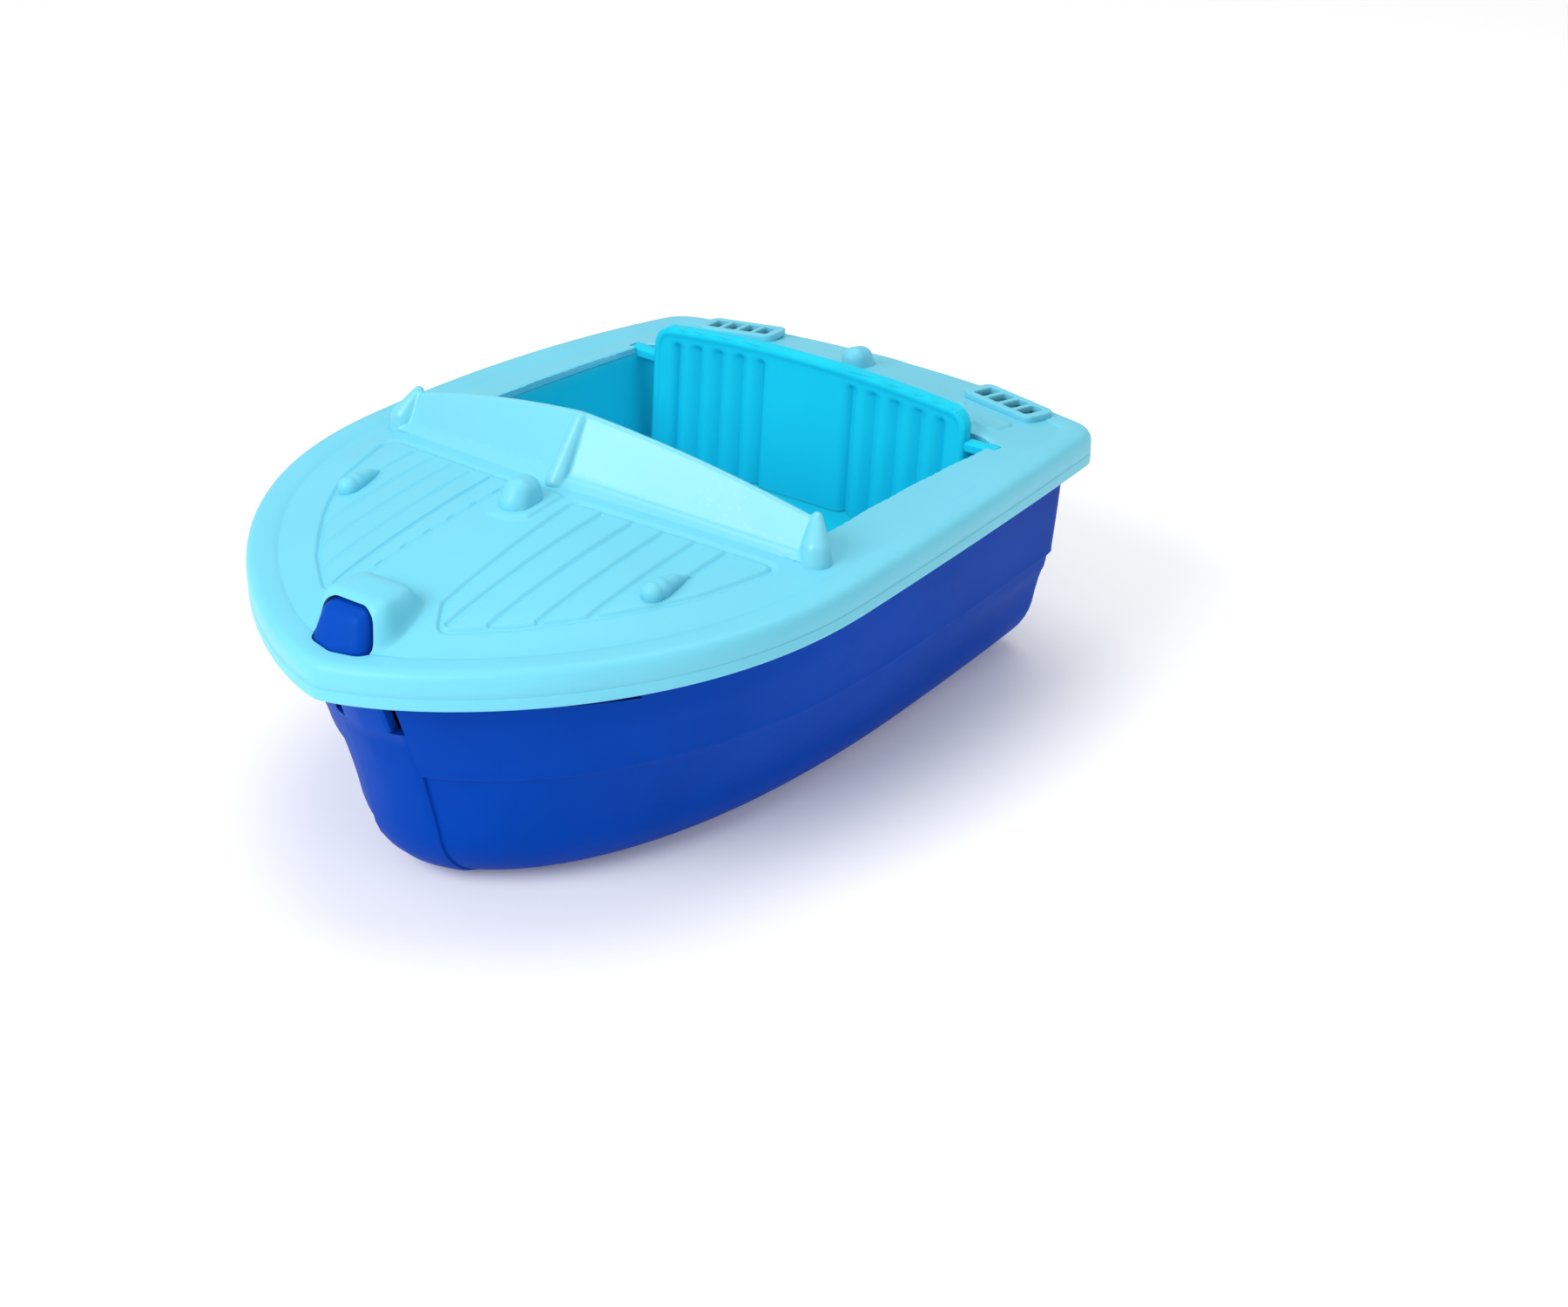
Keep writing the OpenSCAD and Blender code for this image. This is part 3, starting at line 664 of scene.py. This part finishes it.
def windscreen():
    """The raked screen with a post at each end and one in the middle."""
    rings = []
    for y in np.linspace(-68.6, 68.6, 221):
        (bx, bz), (tx, tz) = screen_base(y), screen_top(y)
        across = np.array([bz - tz, tx - bx]) / math.hypot(bz - tz, tx - bx) * -1
        ty = y * SCREEN_NARROW
        pts = []
        for t, h in SCREEN_HALF_T:
            x, z, yy = bx + (tx - bx) * t, bz + (tz - bz) * t, y + (ty - y) * t
            pts.append((x, yy, z, h))
        front = [(x + across[0] * h, yy, z + across[1] * h) for x, yy, z, h in pts]
        rear = [(x - across[0] * h, yy, z - across[1] * h) for x, yy, z, h in reversed(pts)]
        rings.append(front + rear)
    sheet = loft("windscreen", rings)
    posts = []
    for y in (-SCREEN_HALF, SCREEN_HALF):
        bx, bz = screen_base(y)
        balls = [(bx, y, bz - 1.5, 4.5), (bx - 0.4, y, bz + 2.5, 3.7), (14.0, y * SCREEN_NARROW, 90.6, 1.5)]
        posts.append(pod("post", balls, 3))
    bx, bz = screen_base(0)
    posts.append(pod("post", [(bx + 1.6, 0, bz - 0.4, 2.9), (24.3, 0, 103.6, 1.8)], 3))
    combine(sheet, posts, "UNION")
    moulded(sheet, FINE * 0.95, 3)
    sheet.name = "windscreen_moulding"
    return finish_piece(sheet, "boat", SKY_CLEAR, "deck_clear", "windscreen", angle=60)


windscreen()


# ---------------------------------------------------------------- cockpit
FLOOR = 44.0
# The seat back: half width, corner radius, then where its pleats start, how wide each is and how many a side
SEAT_HALF, SEAT_R = 55, 6.0
PLEAT_Y, PLEAT_W, PLEATS = 15.8, 7.8, 4


def tub_ring(grow, z, follow=False):
    """Plan of the tub, grown by grow, flat or following the underside of the deck."""
    corners = [(x + grow * math.copysign(1, x), y + grow * math.copysign(1, y)) for x, y in COCKPIT_CORNERS]
    ring = rounded(corners, max(2.0, COCKPIT_R + grow), 12)
    ring = resampled(np.concatenate([ring, ring[:1]]), 241)[:-1]
    height = deck_at(ring[:, 0], ring[:, 1]) + z if follow else np.full(len(ring), z)
    return np.column_stack([ring, height])


def tub():
    """The cockpit's floor and walls, from the outside foot over the top edge to the floor."""
    rings = [tub_ring(-1.6, FLOOR - 1.8), tub_ring(1.6, -2.75, True), tub_ring(-0.02, -2.75, True)]
    rings += [tub_ring(-0.3, 72), tub_ring(-1.2, 62), tub_ring(-2.4, 50)]
    for a in np.linspace(0, 90, 7):
        r = math.radians(a)
        rings.append(tub_ring(-2.6 - 3.2 * (1 - math.cos(r)), FLOOR + 3.2 * (1 - math.sin(r))))
    body = loft("cockpit_tub_moulding", rings)
    return finish_piece(body, "boat", SKY_CAVITY_SHADE, "cockpit", "cockpit_tub", angle=50)


tub()


def seat_outline():
    """Upper edge of the seat back from starboard to port, as y, z."""
    y1 = SEAT_HALF - SEAT_R
    top = [(y, 84.2 + 3.2 * (1 - (y / SEAT_HALF) ** 2)) for y in np.linspace(-y1, y1, 40)]
    corner = []
    for a in np.linspace(0, math.pi / 2, 12):
        corner.append((y1 + SEAT_R * math.sin(a), 84.86 - SEAT_R * (1 - math.cos(a))))
    side = [(SEAT_HALF, z) for z in (70, 60, FLOOR)]
    port = top + corner[1:] + side
    left = [(-y, z) for y, z in reversed(corner[1:] + side)]
    return np.array(left + port)


def seat():
    """The pleated seat back, leaning on the rear of the cockpit, with an ear each side."""
    dy = 0.3
    ys, zs = np.arange(-SEAT_HALF - 1, SEAT_HALF + 1.01, dy), np.arange(44.2, 90, 0.6)
    gy, gz = np.meshgrid(ys, zs, indexing="ij")
    edge = near(gy, gz, spaced(seat_outline(), 0.3))
    lean = -74 + 0.1 * (83.8 - gz)
    u = (np.abs(gy) - PLEAT_Y) / PLEAT_W
    inside = (u >= 0) & (u <= PLEATS)
    past = np.where(u < 0, u, u - PLEATS)
    valley = np.where(inside, np.abs(np.sin(math.pi * u)), 1.0)
    ramp = np.where(u < 0, step(1 + past / 0.55), step(1 - past / 0.45))
    valley = np.where(inside, valley, 1 - np.clip(ramp, 0, 1) * np.exp(-np.abs(past) * 6))
    fade = step((edge - 3.6) / 2.4)
    front = lean - 2.3 * (1 - valley) * fade - 0.5 * step((edge - 1.7) / 0.9)
    t = np.clip(1 - edge / 1.3, 0, 1)
    round_off = 1.3 * (1 - np.sqrt(1 - t * t))
    front, back = front - round_off, lean - 4.3 + round_off * 0.8
    body = slab("seat", ys, zs, -front, -back)
    # the slab and the prism are made lying down, so they are stood up across the boat
    body.data.transform(Matrix(((0, 0, -1, 0), (1, 0, 0, 0), (0, 1, 0, 0), (0, 0, 0, 1))))
    bm = bmesh.new()
    bm.from_mesh(body.data)
    bmesh.ops.recalc_face_normals(bm, faces=bm.faces)
    bm.to_mesh(body.data)
    bm.free()
    shape = prism("shape", seat_outline(), -100, -50)
    shape.data.transform(Matrix(((0, 0, 1, 0), (1, 0, 0, 0), (0, 1, 0, 0), (0, 0, 0, 1))))
    combine(body, [shape], "INTERSECT")
    ears = []
    for s in (-1, 1):
        balls = [(x, s * y, z, 0.7) for x in (-77.1, -74.4) for y in (55.4, 64.0) for z in (73.6, 75.1)]
        ears.append(pod("ear", balls, 3))
    combine(body, ears, "UNION")
    body.name = "rear_seat_moulding"
    return finish_piece(body, "boat", SKY_CAVITY_SHADE, "cockpit", "rear_seat", angle=50)


seat()


# ---------------------------------------------------------------- small fittings
def vent(s, name, node):
    """A raised stern vent with four slots, s is 1 to port and -1 to starboard."""
    plan = rounded([(-6.25, -12.75), (6.25, -12.75), (6.25, 12.75), (-6.25, 12.75)], 3.2, 8)
    plate = prism("vent", plan, -0.6, 1.5)
    slot = rounded([(-4.1, -1.9), (4.1, -1.9), (4.1, 1.9), (-4.1, 1.9)], 0.9, 5)
    slots = [prism("slot", slot + [0, y], -4, 4) for y in (-8.1, -2.7, 2.7, 8.1)]
    combine(plate, slots, "DIFFERENCE")
    moulded(plate, 0.3, 3)
    turn_about(plate, vent_place(s))
    plate.name = name
    return finish_piece(plate, "boat", SKY, "deck", node, angle=60)


vent(1, "vent_port_moulding", "vent_port")
vent(-1, "vent_starboard_moulding", "vent_starboard")


def horn():
    """The egg-shaped horn on the foredeck."""
    z = float(deck_at(49, 0)) + 0.5
    balls = [(50.6, 0, z, 4.4), (46.8, 0, z, 4.5), (49.2, 0, z + 2.6, 4.15), (47.0, 0, z + 2.4, 4.1)]
    body = pod("bow_horn_moulding", balls)
    foot = pod("foot", [(x, y, z - 0.3, 0.7) for x in (44.4, 52.4) for y in (-3.6, 3.6)], 3)
    combine(body, [foot], "UNION")
    moulded(body, FINE * 0.8, 5)
    return finish_piece(body, "boat", SKY, "deck", "bow_horn", angle=60)


horn()


def lamp(s, name, node):
    """A drop-shaped lamp on the foredeck, its ball forward and its tail aft, with a ring between."""
    z = float(deck_at(59, 51))
    ball = pod(name, [(59.2, s * 51, z + 0.8, 2.95)])
    ring = pod("ring", [(57.4, s * 51.15, z + 0.8, 2.95), (56.7, s * 51.2, z + 0.8, 3.0)])
    taper = [(57.0, s * 51.15, z + 0.9, 2.8), (52.5, s * 51.5, z + 1.0, 2.2), (47.2, s * 52, z + 0.3, 0.8)]
    tail = pod("tail", taper)
    combine(ball, [ring, tail], "UNION")
    moulded(ball, FINE * 0.7, 2)
    return finish_piece(ball, "boat", SKY, "deck", node, angle=60)


lamp(1, "lamp_port_moulding", "lamp_port")
lamp(-1, "lamp_starboard_moulding", "lamp_starboard")


def knob():
    """The round knob on the stern deck."""
    z = float(deck_at(-100, 0)) - 0.6
    balls = [(-99.4, 0, z + 2.9, 3.7), (-102.6, 0, z + 2.2, 3.6), (-99.2, 0, z, 4.0), (-103.4, 0, z, 4.0)]
    body = pod("stern_knob_moulding", balls)
    return finish_piece(body, "boat", SKY, "deck", "stern_knob", angle=60)


knob()


# ---------------------------------------------------------------- floor, light and camera
def stage():
    """The white floor that the boat stands on."""
    r = 6000
    floor = make("floor", [(-r, -r, 0), (r, -r, 0), (r, r, 0), (-r, r, 0)], [(0, 1, 2, 3)])
    ma = bpy.data.materials.new("floor_white")
    ma.use_nodes = True
    bsdf = ma.node_tree.nodes["Principled BSDF"]
    bsdf.inputs["Base Color"].default_value = (0.96, 0.96, 0.96, 1)
    bsdf.inputs["Roughness"].default_value = 0.9
    bsdf.inputs["Specular IOR Level"].default_value = 0.1
    bsdf.inputs["Emission Color"].default_value = (1, 1, 1, 1)
    bsdf.inputs["Emission Strength"].default_value = 0.1
    floor.data.materials.append(ma)


def area(name, at, size, power, aim=(0, 0, 0.05)):
    """A round soft light at a place in metres, turned to the boat."""
    light = bpy.data.lights.new(name, "AREA")
    light.shape, light.size, light.energy = "DISK", size, power
    ob = bpy.data.objects.new(name, light)
    ob.location = at
    ob.rotation_mode = "QUATERNION"
    ob.rotation_quaternion = (Vector(aim) - Vector(at)).to_track_quat("-Z", "Y")
    bpy.context.scene.collection.objects.link(ob)


stage()
area("key", (1.25, -0.25, 0.95), 1.0, 16)
area("top", (-0.3, 0.0, 1.5), 1.2, 9)
area("fill", (0.5, 1.5, 0.8), 1.2, 2)
world = bpy.data.worlds.new("studio")
world.use_nodes = True
world.node_tree.nodes["Background"].inputs["Color"].default_value = (1, 1, 1, 1)
world.node_tree.nodes["Background"].inputs["Strength"].default_value = 0.52
bpy.context.scene.world = world
bpy.context.scene.view_settings.view_transform = "Standard"

# The camera looks down on the port bow; angles are in radians
YAW, PITCH = -2.5092, 0.5009
camera = bpy.data.cameras.new("camera")
camera.sensor_width = 36
camera.lens = 61.868
camera.clip_start, camera.clip_end = 0.01, 50
eye = bpy.data.objects.new("camera", camera)
eye.location = Vector((508.4075, 419.5782, 384.051)) * MM
look = Vector((math.cos(PITCH) * math.cos(YAW), math.cos(PITCH) * math.sin(YAW), -math.sin(PITCH)))
eye.rotation_mode = "QUATERNION"
eye.rotation_quaternion = look.to_track_quat("-Z", "Y")
bpy.context.scene.collection.objects.link(eye)
bpy.context.scene.camera = eye
